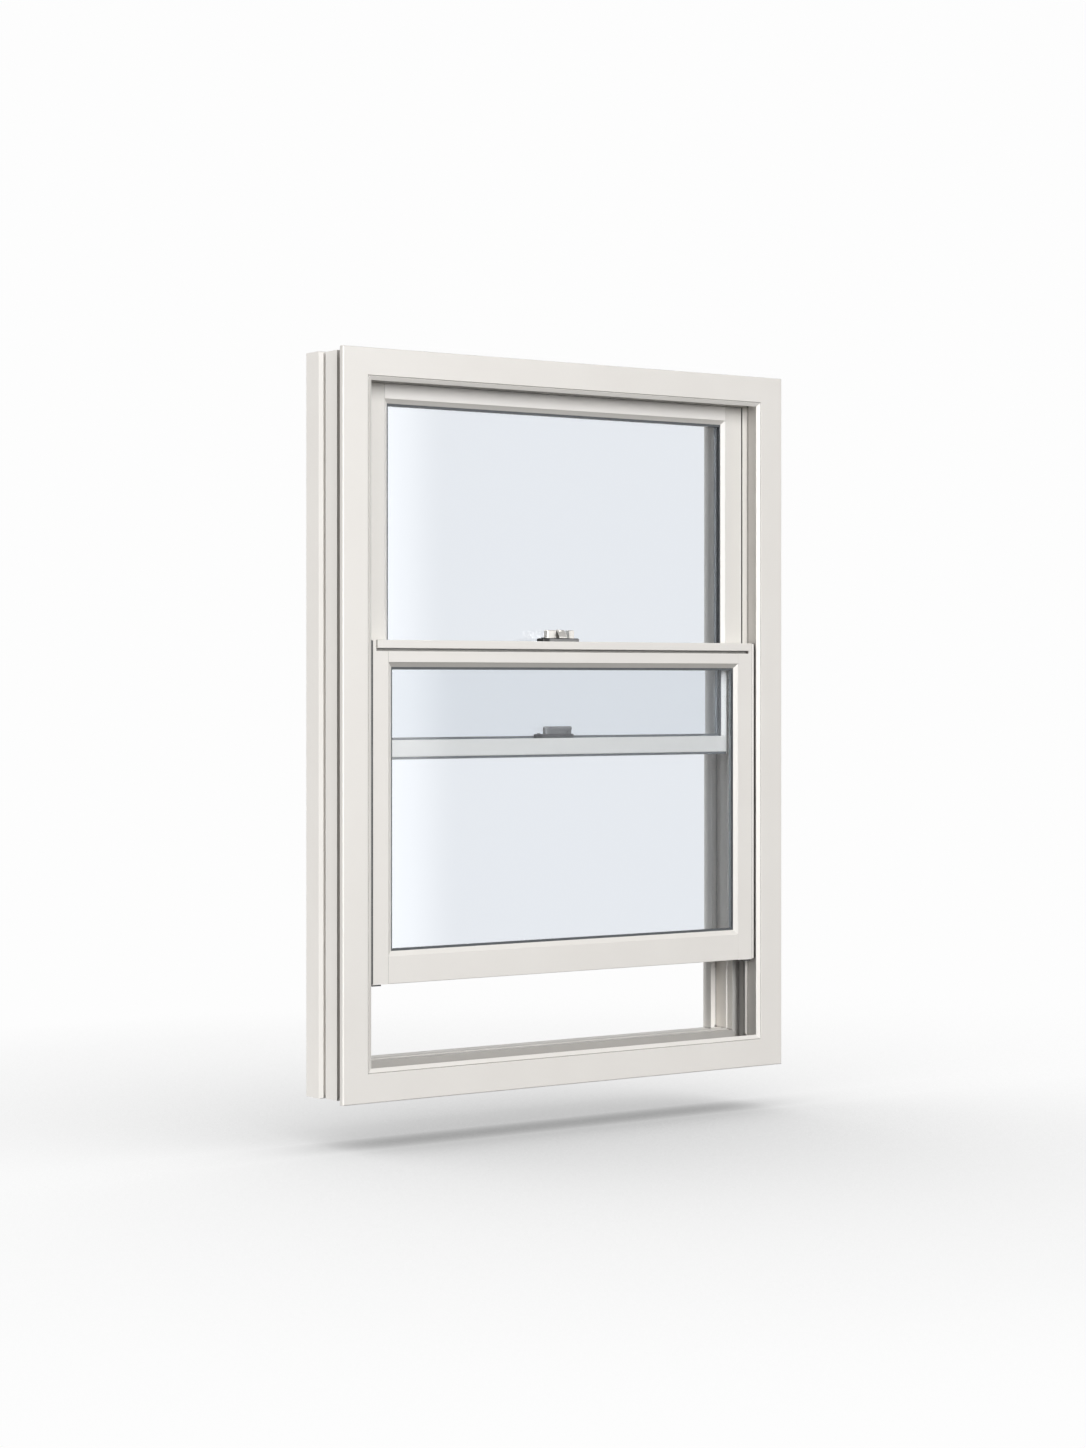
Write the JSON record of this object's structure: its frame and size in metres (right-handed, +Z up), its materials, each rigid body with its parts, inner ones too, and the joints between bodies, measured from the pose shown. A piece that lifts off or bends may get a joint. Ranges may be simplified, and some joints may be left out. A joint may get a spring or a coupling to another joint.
{
  "type": "single hung window",
  "caption": "White vinyl single hung window with a fixed upper sash, a lower sash that slides up, double glazing and a cam lock on the meeting rail.",
  "frame": {"origin": "middle of the flat seat under the sill, midway along it and midway across its depth", "axes": "+Z up along the jambs, +X to the right seen from the room, -Y towards the room"},
  "size_m": [0.902, 0.118, 1.206],
  "materials": {
    "vinyl": "satin",
    "glass": "clear",
    "seal": "matte",
    "spacer": "satin",
    "pile": "pile",
    "pad": "matte",
    "nickel": "satin nickel"
  },
  "bodies": {
    "frame": {"frame_head": "vinyl", "frame_sill": "vinyl", "left_jamb": "vinyl", "left_sash_stop": "vinyl", "left_screen_track": "vinyl", "left_upper_bead": "vinyl", "left_upper_stile": "vinyl", "lock_keeper": "nickel", "meeting_seal": "seal", "right_jamb": "vinyl", "right_sash_stop": "vinyl", "right_screen_track": "vinyl", "right_upper_bead": "vinyl", "right_upper_stile": "vinyl", "upper_gasket": "seal", "upper_inner_pane": "glass", "upper_meeting_rail": "vinyl", "upper_outer_pane": "glass", "upper_spacer": "spacer", "upper_top_bead": "vinyl", "upper_top_rail": "vinyl"},
    "lower_sash": {"left_lower_stile": "vinyl", "right_lower_stile": "vinyl", "lower_top_rail": "vinyl", "lower_bottom_rail": "vinyl", "lift_rail": "vinyl", "left_lower_bead": "vinyl", "right_lower_bead": "vinyl", "lower_top_bead": "vinyl", "lower_bottom_bead": "vinyl", "lower_gasket": "seal", "lower_inner_pane": "glass", "lower_outer_pane": "glass", "lower_spacer": "spacer", "left_corner_pad": "pad", "right_corner_pad": "pad", "left_side_pile": "pile", "right_side_pile": "pile", "lock_base": "nickel"},
    "lock_lever": {"lock_lever": "nickel"}
  },
  "joints": [
    {"name": "lower_sash_slide", "type": "slide", "parent": "frame", "child": "lower_sash", "axis": [0, 0, 1], "range_m": [-0.1588, 0.35]},
    {"name": "lock_lever_turn", "type": "hinge", "parent": "lower_sash", "child": "lock_lever", "pos_m": [-0.015, -0.0752, 0.7429], "axis": [0, 0, 1], "range_deg": [0, 100]}
  ]
}
